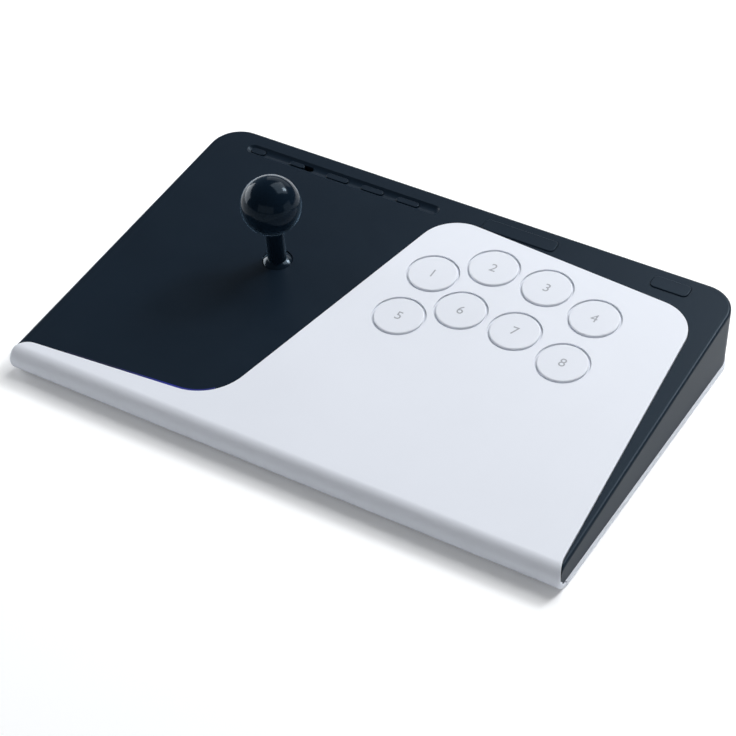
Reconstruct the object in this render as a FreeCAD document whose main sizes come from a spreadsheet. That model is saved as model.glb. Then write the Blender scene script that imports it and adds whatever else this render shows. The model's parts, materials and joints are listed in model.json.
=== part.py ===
# Arcade stick with a ball-top lever, eight round buttons and a row of small keys.
# Row frame: X to the right, Y to the back, Z up, floor at Z 0, millimetres.
# Deck frame: u, v on the sloping top face and w out of it, w 0 on the faceplate.
import FreeCAD, Part
import math
import os
import Sketcher
from types import SimpleNamespace
from FreeCAD import Placement, Rotation, Vector

doc = FreeCAD.newDocument("ArcadeStick")
sheet = doc.addObject("Spreadsheet::Sheet", "Sheet")

SIZES = {
    # body
    "body_width": 344,
    "body_depth": 224.6,
    "deck_angle": 6.55,
    "nose_radius": 8.28,
    "corner_radius": 19,
    "edge_round": 1.8,
    "nose_lift": 0.3,
    "foot_height": 0.5,
    "base_thick": 2.9,
    "base_floor": 2.1,
    "base_lip": 1.0,
    "wall": 2.6,
    "deck_thick": 2.2,
    # faceplate and its outline on the deck
    "face_thick": 2.6,
    "face_step": 0.6,
    "seam": 0.4,
    "seat_clear": 0.2,
    "strip_depth_left": 11.3,
    "strip_depth_notch": 21.6,
    "notch_left": 57.5,
    "face_left": 17.3,
    "face_back_left": 14.61,
    "face_back_right": 26.41,
    "face_side_back": 14.7,
    "face_side_front": 2.4,
    "flare_depth": 7.0,
    "flare_end": 0.6,
    "flare_round": 28,
    "strip_end_round": 9.5,
    "notch_round": 30,
    "face_round": 24,
    "light_width": 1.2,
    "light_thick": 1.9,
    "light_from": 30,
    "face_edge": 0.5,
    "hole_edge": 0.3,
    "hole_rim": 1.2,
    "hole_lip": 0.9,
    # buttons
    "cap_radius": 14.3,
    "cap_gap": 0.3,
    "cap_rise": 0.3,
    "cap_round": 0.8,
    "cap_travel": 2.4,
    "cap_top_thick": 2.2,
    "cap_skirt": 1.6,
    "cap_flange": 1.9,
    "flange_thick": 1.2,
    "stem_radius": 3.2,
    "button_right": 163.0,
    "button_back": 63.19,
    "column_two_u": 28.85,
    "column_two_v": 19.6,
    "column_three_u": 63.45,
    "column_three_v": 18.5,
    "column_four_u": 98.15,
    "column_four_v": 8.45,
    "row_pitch": 39.1,
    "switch_width": 14,
    "switch_neck": 10.6,
    "switch_height": 7.6,
    "board_thick": 1.6,
    "button_board_depth": 17.2,
    # lever
    "lever_left": 94.5,
    "lever_front": 132.93,
    "pivot_depth": 10.5,
    "ball_height": 41,
    "ball_radius": 17.5,
    "ball_flat": 6.2,
    "shaft_radius": 3.0,
    "sleeve_radius": 5.6,
    "dome_radius": 12.7,
    "dome_gap": 0.7,
    "dome_wall": 2.2,
    "fit_gap": 0.05,
    "turn_gap": 0.08,
    "ring_gap": 0.5,
    "ring_wall": 2.0,
    "ring_half": 1.7,
    "pin_radius": 1.5,
    "trunnion": 3.2,
    "bracket_half": 20,
    "bracket_bore": 15.9,
    "bracket_drop": 4.8,
    "post_radius": 2.4,
    "post_place": 17,
    "lever_switch_height": 5.0,
    "lever_switch_width": 12.8,
    "lever_switch_deep": 6.4,
    "lever_switch_place": 9.3,
    "actuator_radius": 6.2,
    "actuator_top": 7.0,
    "actuator_tall": 5.6,
    "gate_half": 8.6,
    "gate_thick": 1.8,
    "shaft_below": 14.2,
    "spring_radius": 4.5,
    "spring_wire": 0.9,
    # small keys
    "trough_width": 8.0,
    "trough_depth": 1.6,
    "trough_back": 14.21,
    "trough_left_end": 27.5,
    "trough_right_end": 153.5,
    "key_gap": 0.3,
    "key_rise": 1.0,
    "key_travel": 0.8,
    "key_flange": 1.2,
    "key_round": 0.5,
    "pill_length": 15.0,
    "pill_width": 4.4,
    "pill_left": 87.5,
    "pill_pitch": 24.4,
    "home_left": 31,
    "home_length": 10.0,
    "home_width": 5.0,
    "slider_left": 59,
    "slider_length": 10.2,
    "slider_width": 3.6,
    "slider_travel": 6.0,
    "wide_key_u": 38,
    "wide_key_length": 47,
    "menu_key_right": 38.5,
    "menu_key_length": 23,
    "border_key_width": 9.4,
    "border_key_back": 11.71,
    "border_key_round": 3.0,
    "border_key_rise": 0.6,
    "key_board_depth": 12.0,
    "key_board_side": 20,
    "key_board_back": 21.21,
    "key_board_wide": 14,
    "key_boss_left": 44,
    "key_boss_middle": 158,
    "key_boss_right": 80,
    "tact_width": 6.0,
    "tact_top": 9.4,
    # inside and below
    "boss_radius": 3.2,
    "pilot_radius": 1.15,
    "screw_radius": 1.1,
    "screw_hole": 1.5,
    "screw_head": 2.3,
    "screw_head_tall": 1.3,
    "screw_sink": 0.1,
    "screw_slot_half": 0.35,
    "screw_slot_deep": 0.7,
    "board_screw_length": 6,
    "case_screw_length": 7,
    "case_screw_side": 17,
    "case_screw_back": 27,
    "case_screw_front": 22,
    "case_screw_inner": 34,
    "case_screw_inner_back": 51.5,
    "battery_length": 70,
    "battery_width": 40,
    "battery_height": 8.5,
    "battery_right": 107,
    "battery_front": 52,
    "socket_width": 8.9,
    "socket_height": 3.2,
    "socket_deep": 8.0,
    "pad_length": 270,
    "pad_width": 10,
    "pad_recess": 0.8,
    "pad_front": 34,
    "pad_back": 14,
}

for row, (alias, value) in enumerate(SIZES.items(), start=1):
    sheet.set(f"A{row}", alias)
    sheet.set(f"B{row}", str(value))
    sheet.setAlias(f"B{row}", alias)
doc.recompute()


class Size:
    """A number together with the sheet expression that gives it."""

    def __init__(self, value, text):
        self.value = float(value)
        self.text = text

    def __add__(self, other):
        other = size(other)
        return Size(self.value + other.value, f"({self.text} + {other.text})")

    def __sub__(self, other):
        other = size(other)
        return Size(self.value - other.value, f"({self.text} - {other.text})")

    def __mul__(self, other):
        other = size(other)
        return Size(self.value * other.value, f"({self.text} * {other.text})")

    def __truediv__(self, other):
        other = size(other)
        return Size(self.value / other.value, f"({self.text} / {other.text})")

    def __radd__(self, other):
        return size(other) + self

    def __rsub__(self, other):
        return size(other) - self

    def __rmul__(self, other):
        return size(other) * self

    def __rtruediv__(self, other):
        return size(other) / self

    def __neg__(self):
        return size(0) - self


def size(number):
    """A plain number as a Size, so that the two can be mixed."""
    return number if isinstance(number, Size) else Size(number, f"({float(number)!r})")


def root(number):
    """Square root of a Size."""
    return Size(math.sqrt(abs(number.value)), f"sqrt(abs({number.text}))")


S = SimpleNamespace(**{alias: Size(value, f"Sheet.{alias}") for alias, value in SIZES.items()})

deck_radians = math.radians(SIZES["deck_angle"])
sin_deck = Size(math.sin(deck_radians), "sin(Sheet.deck_angle)")
cos_deck = Size(math.cos(deck_radians), "cos(Sheet.deck_angle)")
tan_deck = sin_deck / cos_deck

half_width = S.body_width / 2
base_side = half_width + S.base_lip
half_depth = S.body_depth / 2
nose_y = S.nose_radius - half_depth
nose_z = S.nose_lift + S.nose_radius
deck_front = S.nose_lift + S.nose_radius * (1 + 1 / cos_deck - tan_deck)
deck_height = deck_front + half_depth * tan_deck
deck_back = half_depth / cos_deck
base_top = S.foot_height + S.base_thick
floor_top = S.foot_height + S.base_floor
ceiling = -(S.face_thick + S.seat_clear + S.deck_thick)

# Places on the deck: lever and trough from the left and front, buttons from the right and back
front_v = -deck_back
button_u = half_width - S.button_right
button_v = deck_back - S.button_back
lever_spot = (S.lever_left - half_width, front_v + S.lever_front)
trough_left = S.trough_left_end - half_width
trough_right = S.trough_right_end - half_width
home_u = S.home_left - half_width
slider_u = S.slider_left - half_width
menu_key_u = half_width - S.menu_key_right


def to_deck(y, z):
    """Deck v and w of a point of the row frame."""
    rise = z - deck_height
    return y * cos_deck + rise * sin_deck, rise * cos_deck - y * sin_deck


def height_at(y, w):
    """Row height of the deck level w above the row position y."""
    return deck_height + (w + y * sin_deck) / cos_deck


# Binding helpers

def put(thing, name, value):
    """Sets a property, by expression when the value comes from the sheet."""
    if isinstance(value, Size):
        thing.setExpression(name, value.text)
    else:
        setattr(thing, name, value)


def place(thing, x=0, y=0, z=0, turn=Rotation()):
    """Puts a piece at x, y, z with a fixed turn."""
    spot = [size(number) for number in (x, y, z)]
    thing.Placement = Placement(Vector(*[number.value for number in spot]), turn)
    for axis, number in zip("xyz", spot):
        thing.setExpression(f"Placement.Base.{axis}", number.text)
    return thing


def on_deck(thing, label, u=0, v=0, w=0):
    """Names a finished piece and lays it on the sloping deck."""
    u, v, w = size(u), size(v), size(w)
    place(thing, u, v * cos_deck - w * sin_deck, deck_height + v * sin_deck + w * cos_deck,
          Rotation(Vector(1, 0, 0), SIZES["deck_angle"]))
    thing.setExpression("Placement.Rotation.Angle", "Sheet.deck_angle")
    return finish(thing, label)


finished = []


def finish(thing, label):
    """Names a finished piece and lists it for export."""
    thing.Label = label
    finished.append(thing)
    return thing


# Sketch helpers

def pin(sketch, shape, end, x, y):
    """Holds one point of a sketch at x, y."""
    for kind, number in (("DistanceX", size(x)), ("DistanceY", size(y))):
        index = sketch.addConstraint(Sketcher.Constraint(kind, shape, end, number.value))
        sketch.setExpression(f"Constraints[{index}]", number.text)


def hold_radius(sketch, shape, radius):
    """Holds the radius of a circle or an arc."""
    radius = size(radius)
    index = sketch.addConstraint(Sketcher.Constraint("Radius", shape, radius.value))
    sketch.setExpression(f"Constraints[{index}]", radius.text)


def arc_between(first, last, centre):
    """Arc that runs anticlockwise from the first point to the last."""
    angles = [math.atan2(point.y - centre.y, point.x - centre.x) for point in (first, last)]
    circle = Part.Circle(centre, Vector(0, 0, 1), (first - centre).Length)
    return Part.ArcOfCircle(circle, angles[0], angles[1])


def draw(sketch, outline):
    """Draws a closed outline of corners: (x, y), (x, y, "round", radius), (x, y, "arc", radius, centre).

    A rounded corner is tangent to both of its edges. An arc leaves its corner for the next one
    around the centre: anticlockwise with a positive radius, clockwise with a negative one.
    """
    count = len(outline)
    spots = [Vector(size(corner[0]).value, size(corner[1]).value, 0) for corner in outline]
    leaves = list(spots)
    meets = list(spots)
    for index, corner in enumerate(outline):
        if corner[2:3] == ("round",):
            back = (spots[index - 1] - spots[index]).normalize()
            ahead = (spots[(index + 1) % count] - spots[index]).normalize()
            reach = size(corner[3]).value / math.tan(back.getAngle(ahead) / 2)
            meets[index] = spots[index] + back * reach
            leaves[index] = spots[index] + ahead * reach
    edges = []
    for index, corner in enumerate(outline):
        first, last = leaves[index], meets[(index + 1) % count]
        if corner[2:3] == ("arc",):
            radius = size(corner[3])
            centre = Vector(size(corner[4][0]).value, size(corner[4][1]).value, 0)
            forward = radius.value > 0
            ends = (first, last) if forward else (last, first)
            shape = sketch.addGeometry(arc_between(*ends, centre))
            hold_radius(sketch, shape, radius if forward else -radius)
            edges.append((shape, 1, 2) if forward else (shape, 2, 1))
        else:
            edges.append((sketch.addGeometry(Part.LineSegment(first, last)), 1, 2))
    for index, corner in enumerate(outline):
        before, _, before_end = edges[index - 1]
        after, after_start, _ = edges[index]
        if corner[2:3] == ("round",):
            back = (spots[index - 1] - spots[index]).normalize()
            ahead = (spots[(index + 1) % count] - spots[index]).normalize()
            reach = size(corner[3]).value / math.sin(back.getAngle(ahead) / 2)
            centre = spots[index] + (back + ahead).normalize() * reach
            left_turn = ahead.cross(back).z > 0
            ends = (meets[index], leaves[index]) if left_turn else (leaves[index], meets[index])
            bend = sketch.addGeometry(arc_between(*ends, centre))
            bend_ends = (1, 2) if left_turn else (2, 1)
            tip = sketch.addGeometry(Part.Point(spots[index]), True)
            sketch.addConstraint([
                Sketcher.Constraint("Tangent", before, before_end, bend, bend_ends[0]),
                Sketcher.Constraint("Tangent", bend, bend_ends[1], after, after_start),
                Sketcher.Constraint("PointOnObject", tip, 1, before),
                Sketcher.Constraint("PointOnObject", tip, 1, after),
            ])
            hold_radius(sketch, bend, corner[3])
            pin(sketch, tip, 1, corner[0], corner[1])
        else:
            sketch.addConstraint(Sketcher.Constraint("Coincident", before, before_end, after, after_start))
            pin(sketch, after, after_start, corner[0], corner[1])


def draw_circle(sketch, radius, x=0, y=0):
    """Draws a circle held at x, y."""
    spot = Vector(size(x).value, size(y).value, 0)
    shape = sketch.addGeometry(Part.Circle(spot, Vector(0, 0, 1), size(radius).value))
    hold_radius(sketch, shape, radius)
    pin(sketch, shape, 3, x, y)


def draw_pill(sketch, length, width):
    """Draws a bar with half-round ends, centred."""
    length, width = size(length), size(width)
    reach = (length - width) / 2
    radius = width / 2
    centre = Vector(reach.value, 0, 0)
    up = Vector(0, radius.value, 0)
    right = sketch.addGeometry(arc_between(centre - up, centre + up, centre))
    left = sketch.addGeometry(arc_between(up - centre, -centre - up, -centre))
    top = sketch.addGeometry(Part.LineSegment(centre + up, up - centre))
    bottom = sketch.addGeometry(Part.LineSegment(-centre - up, centre - up))
    for first, first_end, last, last_end in ((right, 2, top, 1), (top, 2, left, 1),
                                             (left, 2, bottom, 1), (bottom, 2, right, 1)):
        sketch.addConstraint(Sketcher.Constraint("Tangent", first, first_end, last, last_end))
    hold_radius(sketch, right, radius)
    pin(sketch, right, 3, reach, 0)
    pin(sketch, left, 3, -reach, 0)


def rectangle(length, width, radius=None):
    """Centred rectangle outline, with rounded corners when a radius is given."""
    half, deep = size(length) / 2, size(width) / 2
    corners = [(-half, -deep), (half, -deep), (half, deep), (-half, deep)]
    if radius is None:
        return corners
    return [corner + ("round", radius) for corner in corners]


# Body helpers

def new_body(name):
    return doc.addObject("PartDesign::Body", name)


def new_sketch(body, role="XY_Plane", level=0):
    """Sketch on one of the body's own planes, moved along its normal."""
    plane = [feature for feature in body.Origin.OriginFeatures if feature.Role == role][0]
    sketch = body.newObject("Sketcher::SketchObject", f"{body.Name}_sketch")
    sketch.AttachmentSupport = [(plane, "")]
    sketch.MapMode = "FlatFace"
    sketch.setExpression("AttachmentOffset.Base.z", size(level).text)
    return sketch


def pad(body, sketch, length):
    feature = body.newObject("PartDesign::Pad", f"{body.Name}_pad")
    feature.Profile = sketch
    put(feature, "Length", length)
    return feature


def pocket(body, sketch, depth):
    feature = body.newObject("PartDesign::Pocket", f"{body.Name}_pocket")
    feature.Profile = sketch
    put(feature, "Length", depth)
    return feature


def prism(body, outline, low, high, role="XY_Plane"):
    """Adds a straight prism between two levels."""
    sketch = new_sketch(body, role, low)
    draw(sketch, outline)
    return pad(body, sketch, size(high) - size(low))


def round_edges(body, feature, radius, wanted):
    """Rounds the edges of the last feature that the test picks."""
    doc.recompute()
    names = [f"Edge{index}" for index, edge in enumerate(feature.Shape.Edges, start=1) if wanted(edge)]
    fillet = body.newObject("PartDesign::Fillet", f"{body.Name}_round")
    fillet.Base = (feature, names)
    put(fillet, "Radius", radius)
    return fillet


def turned(name, outline):
    """Body of revolution from corners (radius, height)."""
    body = new_body(name)
    sketch = new_sketch(body, "XZ_Plane")
    draw(sketch, outline)
    feature = body.newObject("PartDesign::Revolution", f"{name}_turn")
    feature.Profile = sketch
    feature.ReferenceAxis = (sketch, ["V_Axis"])
    feature.Angle = 360
    return body


# Primitive helpers

TURN_TO_U = Rotation(Vector(0, 1, 0), 90)
TURN_TO_V = Rotation(Vector(1, 0, 0), -90)


def cylinder(name, radius, height, x=0, y=0, z=0, turn=Rotation()):
    thing = doc.addObject("Part::Cylinder", name)
    put(thing, "Radius", radius)
    put(thing, "Height", height)
    return place(thing, x, y, z, turn)


def sphere(name, radius, x=0, y=0, z=0):
    thing = doc.addObject("Part::Sphere", name)
    put(thing, "Radius", radius)
    return place(thing, x, y, z)


def box(name, x_low, x_high, y_low, y_high, z_low, z_high):
    thing = doc.addObject("Part::Box", name)
    put(thing, "Length", size(x_high) - x_low)
    put(thing, "Width", size(y_high) - y_low)
    put(thing, "Height", size(z_high) - z_low)
    return place(thing, x_low, y_low, z_low)


def fuse(name, shapes):
    thing = doc.addObject("Part::MultiFuse", name)
    thing.Shapes = shapes
    return thing


def common(name, shapes):
    thing = doc.addObject("Part::MultiCommon", name)
    thing.Shapes = shapes
    return thing


def cut(name, base, tools):
    thing = doc.addObject("Part::Cut", name)
    thing.Base = base
    thing.Tool = tools[0] if len(tools) == 1 else fuse(f"{name}_tools", tools)
    return thing


def group(name, shapes):
    thing = doc.addObject("Part::Compound", name)
    thing.Links = shapes
    return thing


# Wedge body and the skin that wraps its nose

nose_v, nose_w = to_deck(nose_y, nose_z)


def envelope(name, inset, floor_z, side):
    """Wedge inside the outer surface by the inset, standing on floor_z, back corners rounded."""
    radius = S.nose_radius - inset
    drop = nose_z - floor_z
    toe = to_deck(nose_y - root(radius * radius - drop * drop), floor_z)
    heel = to_deck(half_depth, floor_z)
    crest = to_deck(half_depth, height_at(half_depth, -size(inset)))
    body = new_body(name)
    feature = prism(body, [
        (*toe,),
        (*heel,),
        (crest[0], -size(inset)),
        (nose_v, -size(inset), "arc", radius, (nose_v, nose_w)),
    ], -side, side, "YZ_Plane")
    heel_v, heel_w = heel[0].value, heel[1].value

    def upright(edge):
        ends = sorted(vertex.Point.z for vertex in edge.Vertexes)
        return (min(vertex.Point.y for vertex in edge.Vertexes) > heel_v - 1
                and abs(edge.Vertexes[0].Point.x - edge.Vertexes[-1].Point.x) < 0.01
                and abs(ends[0] - heel_w) < 0.01)

    corner = round_edges(body, feature, S.corner_radius, upright)
    level = -size(inset).value

    def rim(edge):
        points = edge.discretize(5)
        on_top = all(abs(point.z - level) < 0.01 for point in points)
        across_nose = (max(point.x for point in points) - min(point.x for point in points) > 300
                       and points[0].y < 0)
        return on_top and not across_nose

    round_edges(body, corner, S.edge_round, rim)
    return body


def skin(name, outer, inner, width):
    """Sheet that covers the deck and wraps the nose, between two insets from the outer surface."""
    outer, inner = size(outer), size(inner)
    far = deck_back + 6
    body = new_body(name)
    prism(body, [
        (far, -outer),
        (nose_v, -outer, "arc", S.nose_radius - outer, (nose_v, nose_w)),
        (*to_deck(nose_y, S.nose_lift + outer),),
        (*to_deck(nose_y, S.nose_lift + inner), "arc", inner - S.nose_radius, (nose_v, nose_w)),
        (nose_v, -inner),
        (far, -inner),
    ], -width / 2, width / 2, "YZ_Plane")
    return body


# Outline of the faceplate on the deck
notch_u = button_u - S.notch_left
face_outline = [
    (-half_width - 6, front_v - 12),
    (half_width + 6, front_v - 12),
    (half_width + 6, front_v - S.flare_end),
    (base_side, front_v - S.flare_end),
    (half_width - S.face_side_front, front_v + S.flare_depth, "round", S.flare_round),
    (half_width - S.face_side_back, deck_back - S.face_back_right, "round", S.face_round),
    (button_u - S.face_left, deck_back - S.face_back_left, "round", S.face_round),
    (notch_u, front_v + S.strip_depth_notch, "round", S.notch_round),
    (S.face_side_front - half_width, front_v + S.strip_depth_left, "round", S.strip_end_round),
    (-base_side, front_v - S.flare_end),
    (-half_width - 6, front_v - S.flare_end),
]
face_sketch = doc.addObject("Sketcher::SketchObject", "FaceOutline")
draw(face_sketch, face_outline)


def face_prism(name, grow, low, high):
    """Prism of the faceplate outline, grown outward."""
    source = doc.addObject("Part::Offset2D", f"{name}_outline")
    source.Source = face_sketch
    source.Join = "Intersection"
    put(source, "Value", grow)
    thing = doc.addObject("Part::Extrusion", name)
    thing.Base = source
    thing.DirMode = "Custom"
    thing.Dir = Vector(0, 0, 1)
    thing.Solid = True
    put(thing, "LengthFwd", high)
    put(thing, "LengthRev", -size(low))
    return thing


def nose_box(name, top):
    """Box around the lower half of the nose, where the faceplate spans the whole width."""
    return box(name, -half_width - 4, half_width + 4, nose_v - S.nose_radius - 4, nose_v + S.nose_radius,
               nose_w - 20, top)


# Boards, bosses, keys and screws

columns = [
    (size(0), size(0)),
    (S.column_two_u, S.column_two_v),
    (S.column_three_u, S.column_three_v),
    (S.column_four_u, S.column_four_v),
]
button_spots = [(button_u + u, button_v + v - S.row_pitch * line) for line in (0, 1) for u, v in columns]
board_left = button_u - 20
board_right = button_u + S.column_four_u + 20
board_low = button_v - S.row_pitch - 19
board_high = button_v + S.column_two_v + 19
button_board_top = -S.button_board_depth
middle_spot = (button_u + (S.column_two_u + S.column_three_u) / 2,
               button_v + (S.column_two_v + S.column_three_v) / 2 - S.row_pitch / 2)
button_boss_spots = [
    (board_left + 5, board_low + 5),
    (board_right - 5, board_low + 5),
    (board_left + 5, board_high - 5),
    (board_right - 5, board_high - 5),
    middle_spot,
]

trough_v = deck_back - S.trough_back
border_v = deck_back - S.border_key_back
key_board_top = -S.key_board_depth
key_board_low = deck_back - S.key_board_back
key_board_high = key_board_low + S.key_board_wide
key_boss_spots = [(u, trough_v) for u in (S.key_boss_left - half_width, S.key_boss_middle - half_width,
                                          half_width - S.key_boss_right)]
pill_spots = [S.pill_left - half_width + S.pill_pitch * step for step in range(3)]
slot_u = slider_u + S.slider_travel / 2
slot_length = S.slider_length + S.slider_travel + 2 * S.key_gap

screw_x = half_width - S.case_screw_side
screw_lines = (half_depth - S.case_screw_back, size(0), S.case_screw_front - half_depth)
case_screw_spots = [(x, y) for y in screw_lines for x in (-screw_x, screw_x)]
case_screw_spots.append((size(0), S.case_screw_front - half_depth))
case_screw_spots.append((-S.case_screw_inner, half_depth - S.case_screw_inner_back))


# Upper housing: wedge shell, faceplate seat, bosses, button holes, lever hole, trough and key holes

housing_block = envelope("HousingBlock", S.face_step, base_top, half_width)
cavity_front = nose_y + S.nose_radius / 2
cavity_back = half_depth - S.wall
cavity_body = new_body("HousingCavity")
cavity_pad = prism(cavity_body, [
    (*to_deck(cavity_front, size(-6)),),
    (*to_deck(cavity_back, size(-6)),),
    (*to_deck(cavity_back, height_at(cavity_back, ceiling)),),
    (*to_deck(cavity_front, height_at(cavity_front, ceiling)),),
], S.wall - half_width, half_width - S.wall, "YZ_Plane")
cavity_foot = to_deck(cavity_back, size(-6))[1].value


def cavity_upright(edge):
    ends = [vertex.Point for vertex in edge.Vertexes]
    return (min(point.y for point in ends) > 60 and abs(ends[0].x - ends[-1].x) < 0.01
            and min(point.z for point in ends) < cavity_foot + 0.01)


round_edges(cavity_body, cavity_pad, S.corner_radius - S.wall, cavity_upright)
shell = cut("HousingShell", housing_block, [cavity_body])

TURN_TO_ROW = Rotation(Vector(-1, 0, 0), SIZES["deck_angle"])


def upright_cylinder(name, radius, low_z, high_z, x, y):
    """Cylinder along the row's Z, placed in the deck frame."""
    thing = cylinder(name, radius, size(high_z) - low_z, x, *to_deck(y, size(low_z)), TURN_TO_ROW)
    thing.setExpression("Placement.Rotation.Angle", "Sheet.deck_angle")
    return thing


bosses = []
pilots = []
for index, (x, y) in enumerate(case_screw_spots, start=1):
    under = height_at(y, ceiling)
    bosses.append(upright_cylinder(f"CaseBoss{index}", S.boss_radius + 0.8,
                                   floor_top + 0.05, under + 1, x, y))
    pilots.append(upright_cylinder(f"CasePilot{index}", S.pilot_radius,
                                   floor_top - 1, floor_top + S.case_screw_length, x, y))
for index, (u, v) in enumerate(button_boss_spots, start=1):
    bosses.append(cylinder(f"BoardBoss{index}", S.boss_radius, ceiling + 1 - button_board_top,
                           u, v, button_board_top + 0.05))
    pilots.append(cylinder(f"BoardPilot{index}", S.pilot_radius, S.board_screw_length + 1,
                           u, v, button_board_top - 1))
for index, (u, v) in enumerate(key_boss_spots, start=1):
    bosses.append(cylinder(f"KeyBoss{index}", S.boss_radius, ceiling + 1 - key_board_top,
                           u, v, key_board_top + 0.05))
    pilots.append(cylinder(f"KeyPilot{index}", S.pilot_radius, S.board_screw_length,
                           u, v, key_board_top - 1))
shell_with_bosses = fuse("HousingWithBosses", [shell] + bosses)

seat_skin = skin("SeatSkin", size(-2), S.face_thick + S.seat_clear, S.body_width + 4)
seat_region = fuse("SeatRegion", [face_prism("SeatPrism", S.seam, nose_w - 20, 6),
                                  nose_box("SeatNose", nose_w + S.seam)])
seat = common("FaceSeat", [seat_skin, seat_region])


def light_zone(name, extra, low, high):
    """Box that keeps the light line to the front edge of the dark panel."""
    return box(name, S.light_from - half_width - extra, notch_u - 4 + extra, front_v + 5,
               front_v + S.strip_depth_notch + 14 + extra, low, high)


light_low = -S.face_step + 0.3 - S.light_thick
light_slot = common("LightSlot", [face_prism("LightSlotPrism", S.light_width + 0.1, -8, 6),
                                  light_zone("LightSlotZone", 0.1, light_low - 0.1, 6)])

pivot_w = -S.pivot_depth
dome_seat = sphere("DomeSeat", S.dome_radius + S.dome_gap, *lever_spot, pivot_w)
lever_pilots = []
for across in (-1, 1):
    for along in (-1, 1):
        lever_pilots.append(cylinder("LeverPilot", S.pilot_radius, -ceiling,
                                     lever_spot[0] + S.post_place * across,
                                     lever_spot[1] + S.post_place * along, 2 * ceiling + 3.2))

trough_half = S.trough_width / 2
trough_radius = (trough_half * trough_half + S.trough_depth * S.trough_depth) / (2 * S.trough_depth)
trough_w = trough_radius - S.face_step - S.trough_depth
trough = [
    cylinder("Trough", trough_radius, trough_right - trough_left,
             trough_left, trough_v, trough_w, TURN_TO_U),
    sphere("TroughLeft", trough_radius, trough_left, trough_v, trough_w),
    sphere("TroughRight", trough_radius, trough_right, trough_v, trough_w),
]

skirt_outer = S.cap_radius + S.cap_flange
button_hole = skirt_outer + S.cap_gap
button_holes = [cylinder(f"DeckHole{index}", button_hole, 12 - ceiling, u, v, ceiling - 2)
                for index, (u, v) in enumerate(button_spots, start=1)]


def pill_hole(name, length, width, u):
    """Through hole of a small key in the trough."""
    body = new_body(name)
    sketch = new_sketch(body, level=ceiling - 2)
    draw_pill(sketch, length, width)
    pad(body, sketch, 4 - ceiling)
    return place(body, u, trough_v, 0)


def border_hole(name, length, u):
    """Through hole of a flush key on the back border."""
    body = new_body(name)
    prism(body, rectangle(length + 2 * S.key_gap, S.border_key_width + 2 * S.key_gap,
                          S.border_key_round + S.key_gap), ceiling - 2, 4)
    return place(body, u, border_v, 0)


key_holes = [pill_hole(f"PillHole{index}", S.pill_length + 2 * S.key_gap, S.pill_width + 2 * S.key_gap, u)
             for index, u in enumerate(pill_spots, start=1)]
key_holes.append(pill_hole("HomeHole", S.home_length + 2 * S.key_gap, S.home_width + 2 * S.key_gap, home_u))
key_holes.append(pill_hole("SliderSlot", slot_length, S.slider_width + 2 * S.key_gap, slot_u))
key_holes.append(border_hole("WideKeyHole", S.wide_key_length, S.wide_key_u))
key_holes.append(border_hole("MenuKeyHole", S.menu_key_length, menu_key_u))

socket_top = key_board_top - S.board_thick - 0.1
socket_body = new_body("SocketHole")
socket_sketch = new_sketch(socket_body, "XZ_Plane")
draw_pill(socket_sketch, S.socket_width + 0.4, S.socket_height + 0.4)
pad(socket_body, socket_sketch, 20)
socket_hole = place(socket_body, 0, deck_back + 8, socket_top - S.socket_height / 2)

housing = cut("TopHousing", shell_with_bosses,
              [seat, light_slot, dome_seat] + trough + button_holes + key_holes + [socket_hole]
              + pilots + lever_pilots)
on_deck(housing, "top_housing")


# Faceplate: deck sheet that wraps the nose, with eight holes, each with a thin lip

face_block = envelope("FaceBlock", size(0), S.nose_lift, base_side)
face_skin = skin("FaceSkin", size(0), S.face_thick, S.body_width + 4)
face_form = new_body("FaceForm")
face_pad = prism(face_form, face_outline, nose_w - 20, 0)
round_edges(face_form, face_pad, S.face_edge,
            lambda edge: all(abs(point.z) < 0.01 for point in edge.discretize(4)))
face_region = fuse("FaceRegion", [face_form, nose_box("FaceNose", nose_w)])
face_sheet = common("FaceSheet", [face_block, face_skin, face_region])
hole_rim = S.cap_radius + S.hole_rim
lip = hole_rim + S.hole_edge
hole_outline = [
    (0, -6),
    (button_hole, -6),
    (button_hole, -S.hole_lip),
    (hole_rim, -S.hole_lip),
    (hole_rim, -S.hole_edge, "arc", -S.hole_edge, (lip, -S.hole_edge)),
    (lip, 0),
    (lip, 6),
    (0, 6),
]
face_holes = [place(turned(f"FaceHole{index}", hole_outline), u, v)
              for index, (u, v) in enumerate(button_spots, start=1)]
faceplate = cut("Faceplate", face_sheet, face_holes)
on_deck(faceplate, "faceplate")

# Light guide along the front edge of the dark panel
light_outer = common("LightOuter", [face_prism("LightPrism", S.light_width, -8, 6),
                                    light_zone("LightZone", 0, light_low, light_low + S.light_thick)])
light_guide = cut("LightGuide", light_outer, [face_prism("LightInner", 0.15, -10, 8)])
on_deck(light_guide, "light_guide")


# Buttons: caps, key switches and their board

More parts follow.
